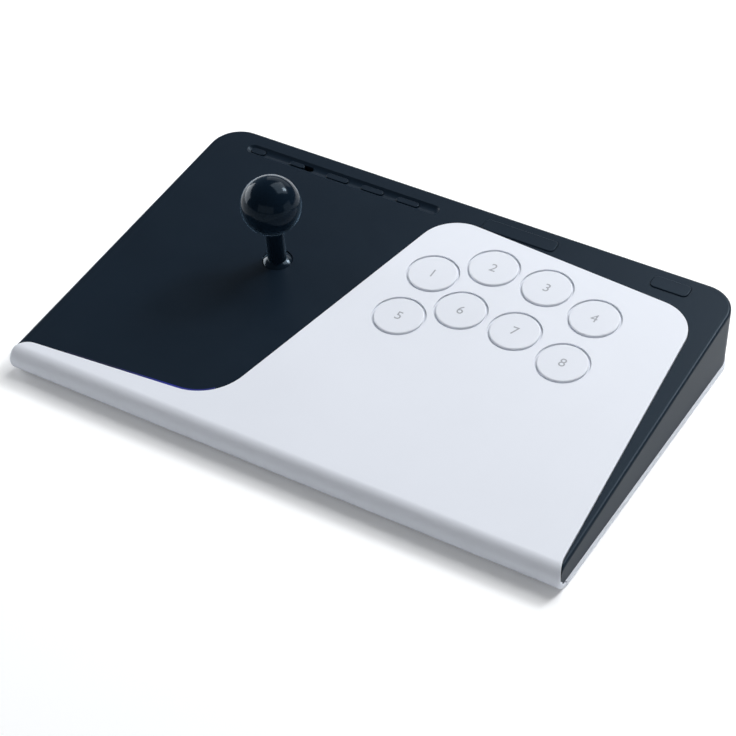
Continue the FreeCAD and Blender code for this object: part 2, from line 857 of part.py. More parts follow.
flange_top = ceiling - 0.15
flange_low = flange_top - S.flange_thick
switch_top = button_board_top + S.switch_height
skirt_inner = skirt_outer - S.cap_skirt
shoulder_inner = S.cap_radius - S.cap_skirt
shoulder_top = -S.hole_lip - S.cap_gap
shoulder_low = shoulder_top - S.flange_thick
cap_under = S.cap_rise - S.cap_top_thick
cap_outline = [
    (0, S.cap_rise),
    (0, switch_top - 0.8),
    (S.stem_radius, switch_top - 0.8),
    (S.stem_radius, cap_under),
    (shoulder_inner, cap_under),
    (shoulder_inner, shoulder_low),
    (skirt_inner, shoulder_low),
    (skirt_inner, flange_low),
    (skirt_outer, flange_low),
    (skirt_outer, shoulder_top),
    (S.cap_radius, shoulder_top),
    (S.cap_radius, S.cap_rise, "round", S.cap_round),
]
for index, (u, v) in enumerate(button_spots, start=1):
    on_deck(turned(f"Cap{index}", cap_outline), f"button_cap_{index}", u, v)
    switch = new_body(f"Switch{index}")
    middle = button_board_top + S.switch_height * 0.6
    prism(switch, rectangle(S.switch_width, S.switch_width, 1), button_board_top, middle)
    prism(switch, rectangle(S.switch_neck, S.switch_neck, 1), middle, switch_top)
    well = new_sketch(switch, level=switch_top)
    draw_circle(well, S.stem_radius + 0.4)
    pocket(switch, well, S.cap_travel + 1.6)
    on_deck(switch, f"button_switch_{index}", u, v)

button_board = new_body("ButtonBoard")
board_bottom = button_board_top - S.board_thick
prism(button_board, [(board_left, board_low, "round", 4), (board_right, board_low, "round", 4),
                     (board_right, board_high, "round", 4), (board_left, board_high, "round", 4)],
      board_bottom, button_board_top)
board_holes = new_sketch(button_board, level=button_board_top)
for u, v in button_boss_spots:
    draw_circle(board_holes, S.screw_hole, u, v)
pocket(button_board, board_holes, S.board_thick + 1)
on_deck(button_board, "button_board")


# Small keys in the trough and on the back border, and their board

key_top = S.key_rise - S.face_step - S.trough_depth
border_top = S.border_key_rise - S.face_step
key_flange_low = flange_top - 1
plunger_low = -S.tact_top + S.key_travel + 0.3


def small_key(name, label, draw_key, draw_flange, top, u, v, plunger=True):
    """Key with a flange below the deck and a plunger over its tact switch."""
    body = new_body(name)
    sketch = new_sketch(body, level=flange_top)
    draw_key(sketch)
    feature = pad(body, sketch, top - flange_top)
    level = size(top).value
    round_edges(body, feature, S.key_round,
                lambda edge: all(abs(point.z - level) < 0.01 for point in edge.discretize(4)))
    sketch = new_sketch(body, level=key_flange_low)
    draw_flange(sketch)
    pad(body, sketch, flange_top - key_flange_low)
    if plunger:
        sketch = new_sketch(body, level=plunger_low)
        draw_circle(sketch, 1.4)
        pad(body, sketch, key_flange_low - plunger_low)
    return on_deck(body, label, u, v)


def pill_key(name, label, length, width, u):
    small_key(name, label, lambda sketch: draw_pill(sketch, length, width),
              lambda sketch: draw_pill(sketch, length + 2 * S.key_flange, width + 2 * S.key_flange),
              key_top, u, trough_v)


def border_key(name, label, length, u):
    small_key(name, label,
              lambda sketch: draw(sketch, rectangle(length, S.border_key_width, S.border_key_round)),
              lambda sketch: draw(sketch, rectangle(length + 2 * S.key_flange, S.border_key_width
                                                    + 2 * S.key_flange, S.border_key_round)),
              border_top, u, border_v)


pill_key("HomeKey", "home_key", S.home_length, S.home_width, home_u)
for index, u in enumerate(pill_spots, start=1):
    pill_key(f"PillKey{index}", f"pill_key_{index}", S.pill_length, S.pill_width, u)
border_key("WideKey", "wide_key", S.wide_key_length, S.wide_key_u)
border_key("MenuKey", "menu_key", S.menu_key_length, menu_key_u)
slider_base = 2 * S.slider_travel + S.slider_length + 1
small_key("SlideKnob", "slide_knob", lambda sketch: draw_pill(sketch, S.slider_length, S.slider_width),
          lambda sketch: draw(sketch, rectangle(slider_base, S.slider_width + 3)),
          key_top, slider_u, trough_v, plunger=False)

key_board = new_body("KeyBoard")
key_board_bottom = key_board_top - S.board_thick
key_board_end = half_width - S.key_board_side
prism(key_board, [(-key_board_end, key_board_low), (key_board_end, key_board_low),
                  (key_board_end, key_board_high), (-key_board_end, key_board_high)],
      key_board_bottom, key_board_top)
key_board_holes = new_sketch(key_board, level=key_board_top)
for u, v in key_boss_spots:
    draw_circle(key_board_holes, S.screw_hole, u, v)
pocket(key_board, key_board_holes, S.board_thick + 1)
tact_spots = [(u, trough_v) for u in [home_u] + pill_spots]
tact_spots += [(S.wide_key_u, border_v), (menu_key_u, border_v)]
half_tact = S.tact_width / 2
tacts = [box(f"Tact{index}", u - half_tact, u + half_tact, v - half_tact, v + half_tact,
             key_board_top, -S.tact_top)
         for index, (u, v) in enumerate(tact_spots, start=1)]
tacts.append(box("SlideSwitch", slot_u - 6, slot_u + 6, trough_v - 3, trough_v + 3, key_board_top,
                 key_flange_low - 0.4))
on_deck(fuse("KeyBoardSet", [key_board] + tacts), "key_board")

socket_outer = new_body("SocketShell")
socket_profile = new_sketch(socket_outer, "XZ_Plane")
draw_pill(socket_profile, S.socket_width, S.socket_height)
pad(socket_outer, socket_profile, S.socket_deep)
socket_mouth = new_sketch(socket_outer, "XZ_Plane")
draw_pill(socket_mouth, S.socket_width - 0.6, S.socket_height - 0.6)
pocket(socket_outer, socket_mouth, S.socket_deep - 1.5)
socket_tongue = box("SocketTongue", -3.3, 3.3, -S.socket_deep + 0.5, -1, -0.35, 0.35)
socket_mid_w = socket_top - S.socket_height / 2
socket_mouth_v = (half_depth + socket_mid_w * sin_deck) / cos_deck - 0.6
charge_socket = fuse("ChargeSocket", [socket_outer, socket_tongue])
on_deck(charge_socket, "charge_socket", 0, socket_mouth_v, socket_mid_w)


# Lever, measured from its pivot

def on_pivot(thing, label):
    return on_deck(thing, label, *lever_spot, pivot_w)


ball_centre = S.pivot_depth + S.ball_height
ball_low = ball_centre - root(S.ball_radius * S.ball_radius - S.ball_flat * S.ball_flat)
shaft_top = ball_centre + S.ball_radius * 0.4
bore = S.shaft_radius + S.fit_gap
on_pivot(turned("BallTop", [
    (0, ball_centre + S.ball_radius),
    (0, shaft_top + 0.1),
    (bore, shaft_top + 0.1),
    (bore, ball_low),
    (S.ball_flat, ball_low, "arc", S.ball_radius, (0, ball_centre)),
]), "ball_top")

dome_reach = root(S.dome_radius * S.dome_radius - S.sleeve_radius * S.sleeve_radius)
hub_low = size(-1.9)
dome_inner = S.dome_radius - S.dome_wall
hub_radius = S.sleeve_radius - 0.2
hub_meets = root(dome_inner * dome_inner - hub_radius * hub_radius)
dome_turned = turned("DomeTurned", [
    (bore, dome_reach),
    (bore, hub_low),
    (hub_radius, hub_low),
    (hub_radius, hub_meets, "arc", -dome_inner, (0, 0)),
    (dome_inner, 0),
    (S.dome_radius, 0, "arc", S.dome_radius, (0, 0)),
    (S.sleeve_radius, dome_reach),
])
pin_hole = S.pin_radius + S.fit_gap
pivot_dome = cut("PivotDome", dome_turned,
                 [cylinder("DomePinHole", pin_hole, 40, 0, -20, 0, TURN_TO_V)])
on_pivot(pivot_dome, "pivot_dome")

on_pivot(turned("ShaftSleeve", [
    (bore, dome_reach + 0.05),
    (S.sleeve_radius, dome_reach + 0.05),
    (S.sleeve_radius, ball_low - 0.05, "round", 0.6),
    (bore, ball_low - 0.05),
]), "shaft_sleeve")

clip_top = -S.actuator_top - S.actuator_tall - 0.1
clip_groove = S.shaft_radius - 0.6
shaft_turned = turned("ShaftTurned", [
    (0, -S.shaft_below),
    (S.shaft_radius, -S.shaft_below, "round", 0.4),
    (S.shaft_radius, clip_top - 0.8),
    (clip_groove, clip_top - 0.8),
    (clip_groove, clip_top),
    (S.shaft_radius, clip_top),
    (S.shaft_radius, shaft_top),
    (0, shaft_top),
])
on_pivot(cut("LeverShaft", shaft_turned, [cylinder("ShaftPinHole", pin_hole, 40, 0, -20, 0, TURN_TO_V)]),
         "lever_shaft")

ring_inner = S.dome_radius + S.ring_gap
ring_outer = ring_inner + S.ring_wall
pin_half = ring_outer - 0.3
cross_bar = cylinder("CrossPinBar", S.pin_radius, 2 * pin_half, 0, -pin_half, 0, TURN_TO_V)
on_pivot(group("CrossPin", [cross_bar]), "cross_pin")

ring_turned = turned("RingTurned", [
    (ring_inner, -S.ring_half),
    (ring_outer, -S.ring_half),
    (ring_outer, S.ring_half),
    (ring_inner, S.ring_half),
])
trunnion_reach = ring_outer + S.trunnion
trunnion_rod = cylinder("TrunnionRod", S.pin_radius, 2 * trunnion_reach, -trunnion_reach, 0, 0, TURN_TO_U)
trunnion_bar = cut("TrunnionBars", trunnion_rod, [cylinder("TrunnionClear", ring_inner, 8, 0, 0, -4)])
ring_bore = cylinder("RingPinHole", S.pin_radius + S.turn_gap, 40, 0, -20, 0, TURN_TO_V)
on_pivot(cut("GimbalRing", fuse("RingSet", [ring_turned, trunnion_bar]), [ring_bore]), "gimbal_ring")

bracket_top = S.pivot_depth + ceiling - 0.05
lever_board_top = -S.bracket_drop - 0.05
lever_board_low = lever_board_top - S.board_thick
switch_low = lever_board_low - S.lever_switch_height
gate_top = switch_low - 0.2
gate_low = gate_top - S.gate_thick
post_spots = [(S.post_place * across, S.post_place * along) for across in (-1, 1) for along in (-1, 1)]
bracket_block = new_body("BracketBlock")
prism(bracket_block, rectangle(2 * S.bracket_half, 2 * S.bracket_half, 3), -S.bracket_drop, bracket_top)
bracket_hole = new_sketch(bracket_block, level=bracket_top)
draw_circle(bracket_hole, S.bracket_bore)
pocket(bracket_block, bracket_hole, bracket_top + S.bracket_drop + 1)
bracket_posts = [cylinder("BracketPost", S.post_radius, -S.bracket_drop + 0.5 - gate_top - 0.05,
                          x, y, gate_top + 0.05) for x, y in post_spots]
bracket_bores = [cylinder("BracketBore", S.screw_hole, bracket_top - gate_low + 4, x, y, gate_low - 2)
                 for x, y in post_spots]
bearing_reach = trunnion_reach + 0.4
bearing = cylinder("BearingBore", S.pin_radius + S.turn_gap, 2 * bearing_reach,
                   -bearing_reach, 0, 0, TURN_TO_U)
on_pivot(cut("LeverBracket", fuse("BracketSet", [bracket_block] + bracket_posts), bracket_bores + [bearing]),
         "lever_bracket")

lever_board = new_body("LeverBoard")
prism(lever_board, rectangle(2 * S.bracket_half, 2 * S.bracket_half, 3), lever_board_low, lever_board_top)
lever_board_holes = new_sketch(lever_board, level=lever_board_top)
draw_circle(lever_board_holes, S.lever_switch_place + 1.5)
for x, y in post_spots:
    draw_circle(lever_board_holes, S.post_radius + 0.2, x, y)
pocket(lever_board, lever_board_holes, S.board_thick + 1)
on_pivot(lever_board, "lever_board")

plunger_level = lever_board_low - S.lever_switch_height / 2
for label, turn in (("right", 0), ("back", 90), ("left", 180), ("front", 270)):
    case = box(f"LeverSwitchCase_{label}", S.lever_switch_place, S.lever_switch_place + S.lever_switch_deep,
               -S.lever_switch_width / 2, S.lever_switch_width / 2, switch_low, lever_board_low - 0.05)
    nib = cylinder(f"LeverSwitchNib_{label}", 1.2, 2, S.lever_switch_place - 0.8, 0, plunger_level,
                   TURN_TO_U)
    switch = fuse(f"LeverSwitch_{label}", [case, nib])
    turned_switch = group(f"LeverSwitchTurned_{label}", [switch])
    switch.Placement = Placement(Vector(0, 0, 0), Rotation(Vector(0, 0, 1), turn))
    on_pivot(turned_switch, f"lever_switch_{label}")

gate = new_body("Gate")
prism(gate, rectangle(2 * S.bracket_half, 2 * S.bracket_half, 3), gate_low, gate_top)
gate_opening = new_sketch(gate, level=gate_top)
draw(gate_opening, rectangle(2 * S.gate_half, 2 * S.gate_half, 2))
for x, y in post_spots:
    draw_circle(gate_opening, S.screw_hole, x, y)
pocket(gate, gate_opening, S.gate_thick + 1)
on_pivot(gate, "restrictor_gate")

actuator_top = -S.actuator_top
on_pivot(turned("Actuator", [
    (bore, actuator_top),
    (bore, actuator_top - S.actuator_tall),
    (S.actuator_radius, actuator_top - S.actuator_tall, "round", 0.5),
    (S.actuator_radius, actuator_top, "round", 0.5),
]), "lever_actuator")
on_pivot(turned("Clip", [
    (clip_groove + S.fit_gap, clip_top - 0.05),
    (clip_groove + S.fit_gap, clip_top - 0.75),
    (S.shaft_radius + 1.6, clip_top - 0.75),
    (S.shaft_radius + 1.6, clip_top - 0.05),
]), "shaft_clip")

spring_top = hub_low - S.spring_wire / 2 - 0.05
spring_low = actuator_top + S.spring_wire / 2 + 0.05
coil_turns = 3
coil_pitch = (spring_top - spring_low) / coil_turns
coil_rise = coil_pitch / 4
coil_slope = coil_rise / S.spring_radius
coil_tilt = Size(math.degrees(math.atan(coil_slope.value)), f"atan({coil_slope.text})")
half_turns = []
for step in range(2 * coil_turns):
    half_turn = doc.addObject("Part::Torus", f"SpringHalf{step}")
    put(half_turn, "Radius1", root(S.spring_radius * S.spring_radius + coil_rise * coil_rise))
    put(half_turn, "Radius2", S.spring_wire / 2)
    half_turn.Angle3 = 180
    place(half_turn, 0, 0, coil_rise, Rotation(Vector(0, 1, 0), coil_tilt.value))
    half_turn.setExpression("Placement.Rotation.Angle", coil_tilt.text)
    turned_half = group(f"SpringStep{step}", [half_turn])
    half_turns.append(place(turned_half, 0, 0, spring_low + coil_pitch / 2 * step,
                            Rotation(Vector(0, 0, 1), 180 * (step % 2))))
on_pivot(fuse("ReturnSpring", half_turns), "return_spring")


# Screws, heads below

def screw(name, length, x, y, z, cross=False):
    """Screw that points up, its head resting under the level z."""
    under = size(z) - S.screw_head_tall
    head = cylinder(f"{name}_head", S.screw_head, S.screw_head_tall, x, y, under)
    shank = cylinder(f"{name}_shank", S.screw_radius, length, x, y, z)
    thing = fuse(name, [head, shank])
    if cross:
        reach, thin = S.screw_head * 0.6, S.screw_slot_half
        low, high = under - 1, under + S.screw_slot_deep
        bars = [box(f"{name}_slot", x - reach, x + reach, y - thin, y + thin, low, high),
                box(f"{name}_slot", x - thin, x + thin, y - reach, y + reach, low, high)]
        thing = cut(f"{name}_crossed", thing, bars)
    return thing


lever_screw_length = S.pivot_depth + ceiling + 2.6 - gate_low
lever_screws = [screw("LeverScrew", lever_screw_length, x, y, gate_low) for x, y in post_spots]
on_pivot(group("LeverScrews", lever_screws), "lever_screws")
board_screws = [screw("BoardScrew", S.board_screw_length, u, v, board_bottom)
                for u, v in button_boss_spots]
board_screws += [screw("KeyScrew", S.board_screw_length, u, v, key_board_bottom)
                 for u, v in key_boss_spots]
on_deck(group("BoardScrews", board_screws), "board_screws")
sink = S.screw_head_tall + S.screw_sink
case_screws = [screw("CaseScrew", S.case_screw_length, x, y, S.foot_height + sink, True)
               for x, y in case_screw_spots]
finish(group("CaseScrews", case_screws), "case_screws")


# Bottom cover, foot strips and battery, in the row frame

cover_front = nose_y + S.seam
cover_block = new_body("CoverBlock")
cover_pad = prism(cover_block, [(-base_side, cover_front), (base_side, cover_front),
                                (base_side, half_depth), (-base_side, half_depth)],
                  S.foot_height, base_top)
back_y = half_depth.value
round_edges(cover_block, cover_pad, S.corner_radius + S.base_lip,
            lambda edge: all(abs(vertex.Point.y - back_y) < 0.01 for vertex in edge.Vertexes)
            and abs(edge.Vertexes[0].Point.x - edge.Vertexes[-1].Point.x) < 0.01)
tray = new_sketch(cover_block, level=base_top)
tray_side = half_width - S.wall - 1
tray_round = S.corner_radius - S.wall - 1
draw(tray, [(-tray_side, cover_front + 3, "round", 3), (tray_side, cover_front + 3, "round", 3),
            (tray_side, half_depth - S.wall - 1, "round", tray_round),
            (-tray_side, half_depth - S.wall - 1, "round", tray_round)])
pocket(cover_block, tray, S.base_thick - S.base_floor)
cover_cuts = []
for index, (x, y) in enumerate(case_screw_spots, start=1):
    cover_cuts.append(cylinder(f"CoverBore{index}", S.screw_head + 0.4, sink + 1, x, y, S.foot_height - 1))
    cover_cuts.append(cylinder(f"CoverHole{index}", S.screw_hole, 8, x, y, S.foot_height))
foot_spots = {"foot_front": S.pad_front - half_depth, "foot_back": half_depth - S.pad_back}
for label, y in foot_spots.items():
    seat_body = new_body(f"Seat_{label}")
    seat_sketch = new_sketch(seat_body, level=S.foot_height - 1)
    draw_pill(seat_sketch, S.pad_length + 0.4, S.pad_width + 0.4)
    pad(seat_body, seat_sketch, S.pad_recess + 1)
    cover_cuts.append(place(seat_body, 0, y, 0))
    foot = new_body(f"Foot_{label}")
    foot_sketch = new_sketch(foot)
    draw_pill(foot_sketch, S.pad_length, S.pad_width)
    pad(foot, foot_sketch, S.foot_height + S.pad_recess)
    place(foot, 0, y, 0)
    finish(foot, label)
finish(cut("BottomCover", cover_block, cover_cuts), "bottom_cover")

battery = new_body("Battery")
prism(battery, rectangle(S.battery_length, S.battery_width, 3), floor_top, floor_top + S.battery_height)
place(battery, half_width - S.battery_right, S.battery_front - half_depth, 0)
finish(battery, "battery_pack")


# Check and export

doc.recompute()
os.makedirs("parts", exist_ok=True)
for thing in doc.Objects:
    if "Invalid" in thing.State or "Error" in thing.State:
        raise RuntimeError(f"{thing.Name} {thing.Label}: {thing.State}")
for thing in finished:
    if thing.Shape.isNull() or not thing.Shape.isValid():
        raise RuntimeError(f"{thing.Label}: shape is missing or not valid")
for thing in finished:
    thing.Shape.exportStep(f"parts/{thing.Label}.step")
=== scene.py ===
import json
import math

import bpy
from mathutils import Matrix, Vector


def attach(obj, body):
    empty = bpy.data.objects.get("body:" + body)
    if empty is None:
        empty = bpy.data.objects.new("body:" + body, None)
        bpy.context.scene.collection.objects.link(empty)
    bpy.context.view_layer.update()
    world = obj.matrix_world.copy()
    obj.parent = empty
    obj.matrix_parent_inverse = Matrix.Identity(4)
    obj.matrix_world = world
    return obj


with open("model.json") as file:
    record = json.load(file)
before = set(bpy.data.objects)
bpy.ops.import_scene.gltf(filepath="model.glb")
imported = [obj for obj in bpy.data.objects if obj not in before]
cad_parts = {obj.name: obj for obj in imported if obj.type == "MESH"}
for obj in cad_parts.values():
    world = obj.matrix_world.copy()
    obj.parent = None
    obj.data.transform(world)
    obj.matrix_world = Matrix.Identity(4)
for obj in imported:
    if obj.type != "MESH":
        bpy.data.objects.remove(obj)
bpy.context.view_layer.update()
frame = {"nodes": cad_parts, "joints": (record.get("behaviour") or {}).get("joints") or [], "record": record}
nodes = frame["nodes"]
joints = {joint["name"]: joint for joint in frame["joints"]}

# Deck frame, from the press direction of the buttons
deck_up = -Vector(joints["button_1_press"]["axis"]).normalized()
deck_right = Vector((1, 0, 0))
deck_back = deck_up.cross(deck_right).normalized()

# Finish of the plastics and metals
NOISE_RANGE = (0.3, 0.7)
CLOUD_SCALE = 28
SMUDGE_SCALE = 60
SMUDGE_SHARE = 0.04
GRAIN_DEPTH = 0.0002
HAZE_ROUGH = 0.3
HAZE_TINT = (0.45, 0.72, 1.0)
BLUE_CAST = (0.62, 0.82, 1.0)
WALL_TO_DECK = (0.3, 0.8)
DRAWN_SCALE = 900

# Light guide, by x in metres
LINE_LEFT, LINE_PEAK, LINE_RIGHT = -0.112, -0.074, -0.036
LINE_LEFT_GLOW = (0.002, 0.003, 0.03)
LINE_PEAK_GLOW = (0.03, 0.05, 0.95)
LINE_RIGHT_GLOW = (0.004, 0.008, 0.06)
LINE_STRENGTH = 0.24
LINE_BASE = (0.008, 0.012, 0.03)
LINE_ROUGH = 0.3

# Circuit boards
TRACK_SCALE = 260
TRACK_EDGE = (0.03, 0.06)
TRACK_GREEN = (0.03, 0.20, 0.09)
MASK_GREEN = (0.012, 0.10, 0.045)
BOARD_ROUGH = 0.35

# Numerals, in metres
NUMERAL_SIZE = 0.0088
FILM_HALF = 0.00003
BUTTON_COUNT = 8

# Floor and surround
FLOOR_REACH = 8.0
FLOOR_BOUNCE = (0.80, 0.81, 0.82)
FLOOR_SEEN = (0.98, 0.98, 0.98)
FLOOR_ROUGH = 0.9
GLOW_FADE = (0.8, 2.2)
GLOW_LEVELS = (0.07, 1.0)
SKY_LOW = (0.75, 0.77, 0.80)
SKY_HIGH = (0.95, 0.97, 1.0)
SKY_STRENGTH = 0.10

# Soft boxes: name, place, size, and share of full daylight on a face turned to it
LAMP_COLOUR = (0.97, 0.985, 1.0)
LAMP_AIM = Vector((0, 0, 0.03))
LAMPS = [
    ("softbox_back", (0.38, 1.22, 1.87), (1.75, 1.60), 0.86),
    ("softbox_rear", (-0.45, 1.55, 0.80), (1.50, 0.80), 0.13),
    ("softbox_spot", (0.60, 1.18, 1.27), (0.32, 0.32), 0.38),
    ("softbox_left", (-1.10, 0.06, 0.23), (0.90, 0.44), 0.58),
    ("softbox_front", (0.40, -2.00, 0.70), (2.40, 1.00), 0.15),
    ("softbox_right", (1.30, 0.25, 0.34), (0.8, 0.55), 0.10),
]

# Camera, solved from the photograph
SENSOR_WIDTH = 36.0
LENS = 103.61
AZIMUTH = math.radians(30.65)
ELEVATION = math.radians(39.56)
CAMERA_REACH = 1.16727
CAMERA_AIM = Vector((0.01137, -0.02717, 0.020))


# Node helpers

def new_material(name):
    """Empty node material with its output and shader."""
    material = bpy.data.materials.new(name)
    material.use_nodes = True
    tree = material.node_tree
    tree.nodes.clear()
    output = tree.nodes.new("ShaderNodeOutputMaterial")
    shader = tree.nodes.new("ShaderNodeBsdfPrincipled")
    tree.links.new(shader.outputs["BSDF"], output.inputs["Surface"])
    return material, tree, shader


def object_place(tree):
    """Object coordinates, in metres."""
    return tree.nodes.new("ShaderNodeTexCoord").outputs["Object"]


def axis_of(tree, vector, axis):
    """One axis of a vector."""
    split = tree.nodes.new("ShaderNodeSeparateXYZ")
    tree.links.new(vector, split.inputs["Vector"])
    return split.outputs[axis]


def laid_out(tree, source, span, ends=(0, 1)):
    """A value moved from one span to another, held at the ends."""
    remap = tree.nodes.new("ShaderNodeMapRange")
    remap.inputs["From Min"].default_value = span[0]
    remap.inputs["From Max"].default_value = span[1]
    remap.inputs["To Min"].default_value = ends[0]
    remap.inputs["To Max"].default_value = ends[1]
    tree.links.new(source, remap.inputs["Value"])
    return remap.outputs["Result"]


def colour_mix(tree, factor, first, last):
    """Colour between two others, by a factor."""
    mix = tree.nodes.new("ShaderNodeMix")
    mix.data_type = "RGBA"
    mix.inputs["A"].default_value = (*first, 1)
    mix.inputs["B"].default_value = (*last, 1)
    tree.links.new(factor, mix.inputs["Factor"])
    return mix.outputs["Result"]


def joined(tree, operation, first, second):
    """Two values joined by a math operation."""
    node = tree.nodes.new("ShaderNodeMath")
    node.operation = operation
    tree.links.new(first, node.inputs[0])
    tree.links.new(second, node.inputs[1])
    return node.outputs[0]


def noise(tree, scale, detail=3.0, roughness=0.5, stretch=(1, 1, 1)):
    """Noise over object coordinates, stretched by axis."""
    mapping = tree.nodes.new("ShaderNodeMapping")
    mapping.inputs["Scale"].default_value = stretch
    texture = tree.nodes.new("ShaderNodeTexNoise")
    texture.inputs["Scale"].default_value = scale
    texture.inputs["Detail"].default_value = detail
    texture.inputs["Roughness"].default_value = roughness
    tree.links.new(object_place(tree), mapping.inputs["Vector"])
    tree.links.new(mapping.outputs["Vector"], texture.inputs["Vector"])
    return texture.outputs["Fac"]


def tint(tree, source, first, last):
    """Colour between two tints, by a noise value."""
    return colour_mix(tree, laid_out(tree, source, NOISE_RANGE), first, last)


def on_sides(tree, source, side_value):
    """The given value on faces that look up, another one on upright walls."""
    normal = tree.nodes.new("ShaderNodeNewGeometry").outputs["Normal"]
    upright = laid_out(tree, axis_of(tree, normal, "Z"), WALL_TO_DECK, (1, 0))
    mix = tree.nodes.new("ShaderNodeMix")
    mix.inputs["B"].default_value = side_value
    tree.links.new(source, mix.inputs["A"])
    tree.links.new(upright, mix.inputs["Factor"])
    return mix.outputs["Result"]


def plastic(name, colour, rough, grain=2200, relief=0.02, gloss=0.5, vary=0.04, haze=0.0,
            cast=(1, 1, 1), side_rough=0.0):
    """Moulded plastic: fine grain, faint cloudiness of tone and gloss, its own roughness on walls if given."""
    material, tree, shader = new_material(name)
    cloud = noise(tree, CLOUD_SCALE, 4)
    low = [channel * (1 - vary) for channel in colour]
    high = [channel * (1 + vary) for channel in colour]
    tree.links.new(tint(tree, cloud, low, high), shader.inputs["Base Color"])
    smudge = noise(tree, SMUDGE_SCALE, 5, 0.6)
    finish = laid_out(tree, smudge, NOISE_RANGE, (rough * (1 - SMUDGE_SHARE), rough * (1 + SMUDGE_SHARE)))
    if side_rough:
        finish = on_sides(tree, finish, side_rough)
    tree.links.new(finish, shader.inputs["Roughness"])
    shader.inputs["Specular IOR Level"].default_value = gloss
    shader.inputs["Specular Tint"].default_value = (*cast, 1)
    shader.inputs["Sheen Weight"].default_value = haze
    shader.inputs["Sheen Roughness"].default_value = HAZE_ROUGH
    shader.inputs["Sheen Tint"].default_value = (*HAZE_TINT, 1)
    bump = tree.nodes.new("ShaderNodeBump")
    bump.inputs["Strength"].default_value = relief
    bump.inputs["Distance"].default_value = GRAIN_DEPTH
    tree.links.new(noise(tree, grain, 2), bump.inputs["Height"])
    tree.links.new(bump.outputs["Normal"], shader.inputs["Normal"])
    return material


def metal(name, colour, rough, stretch=(1, 1, 40)):
    """Ground or plated steel with fine lines."""
    material, tree, shader = new_material(name)
    lines = noise(tree, DRAWN_SCALE, 3, 0.6, stretch)
    low = [channel * 0.9 for channel in colour]
    tree.links.new(tint(tree, lines, low, colour), shader.inputs["Base Color"])
    finish = laid_out(tree, lines, NOISE_RANGE, (rough * 0.8, rough * 1.2))
    tree.links.new(finish, shader.inputs["Roughness"])
    shader.inputs["Metallic"].default_value = 1.0
    return material


def lit_line(name):
    """Blue light guide, brightest near the panel's corner and fading to both ends."""
    material, tree, shader = new_material(name)
    along = laid_out(tree, axis_of(tree, object_place(tree), "X"), (LINE_LEFT, LINE_RIGHT))
    ramp = tree.nodes.new("ShaderNodeValToRGB")
    stops = ramp.color_ramp.elements
    stops[0].position = 0.0
    stops[0].color = (*LINE_LEFT_GLOW, 1)
    stops[1].position = 1.0
    stops[1].color = (*LINE_RIGHT_GLOW, 1)
    top = stops.new((LINE_PEAK - LINE_LEFT) / (LINE_RIGHT - LINE_LEFT))
    top.color = (*LINE_PEAK_GLOW, 1)
    tree.links.new(along, ramp.inputs["Fac"])
    tree.links.new(ramp.outputs["Color"], shader.inputs["Emission Color"])
    shader.inputs["Emission Strength"].default_value = LINE_STRENGTH
    shader.inputs["Base Color"].default_value = (*LINE_BASE, 1)
    shader.inputs["Roughness"].default_value = LINE_ROUGH
    return material


def board_material(name):
    """Solder mask with fine copper runs below it."""
    material, tree, shader = new_material(name)
    cells = tree.nodes.new("ShaderNodeTexVoronoi")
    cells.distance = "MANHATTAN"
    cells.feature = "DISTANCE_TO_EDGE"
    cells.inputs["Scale"].default_value = TRACK_SCALE
    tree.links.new(object_place(tree), cells.inputs["Vector"])
    step = laid_out(tree, cells.outputs["Distance"], TRACK_EDGE)
    tree.links.new(colour_mix(tree, step, TRACK_GREEN, MASK_GREEN), shader.inputs["Base Color"])
    shader.inputs["Roughness"].default_value = BOARD_ROUGH
    return material


# Materials, one per slot of the record
MATERIALS = {
    "case_dark": plastic("case_dark", (0.0056, 0.0118, 0.0210), 0.36, relief=0.05, gloss=0.14, vary=0.05,
                         haze=0.02, cast=BLUE_CAST, side_rough=0.45),
    "face_white": plastic("face_white", (0.735, 0.760, 0.820), 0.55, relief=0.015, gloss=0.35, vary=0.008),
    "base_white": plastic("base_white", (0.725, 0.750, 0.808), 0.55, relief=0.015, gloss=0.35, vary=0.01),
    "foot_rubber": plastic("foot_rubber", (0.02, 0.02, 0.022), 0.8, grain=1500, relief=0.15, gloss=0.2),
    "light_blue": lit_line("light_blue"),
    "cap_white": plastic("cap_white", (0.720, 0.744, 0.802), 0.55, relief=0.01, gloss=0.35, vary=0.008),
    "switch_black": plastic("switch_black", (0.02, 0.02, 0.023), 0.45, gloss=0.3),
    "board_green": board_material("board_green"),
    "cell_wrap": plastic("cell_wrap", (0.06, 0.065, 0.08), 0.35, relief=0.03),
    "socket_steel": metal("socket_steel", (0.55, 0.55, 0.57), 0.3),
    "screw_steel": metal("screw_steel", (0.22, 0.22, 0.24), 0.35, (1, 1, 1)),
    "key_dark": plastic("key_dark", (0.0058, 0.0122, 0.0216), 0.36, relief=0.04, gloss=0.14, haze=0.02,
                        cast=BLUE_CAST),
    "ball_black": plastic("ball_black", (0.0034, 0.0082, 0.0155), 0.13, relief=0.002, gloss=0.10, haze=0.30,
                          cast=BLUE_CAST),
    "sleeve_black": plastic("sleeve_black", (0.0034, 0.0082, 0.0155), 0.16, relief=0.003, gloss=0.25, haze=0.20,
                            cast=BLUE_CAST),
    "shaft_steel": metal("shaft_steel", (0.60, 0.60, 0.62), 0.25),
    "works_black": plastic("works_black", (0.012, 0.012, 0.014), 0.5, gloss=0.3),
}
legend_ink = plastic("legend_ink", (0.34, 0.355, 0.39), 0.5, vary=0.05)
slot_of = {part["node"]: part["material_slot"] for part in frame["record"]["subparts"]}
for name, node in nodes.items():
    node.data.materials.clear()
    node.data.materials.append(MATERIALS[slot_of[name]])
    node.data.polygons.foreach_set("use_smooth", [True] * len(node.data.polygons))


# Numerals on the caps

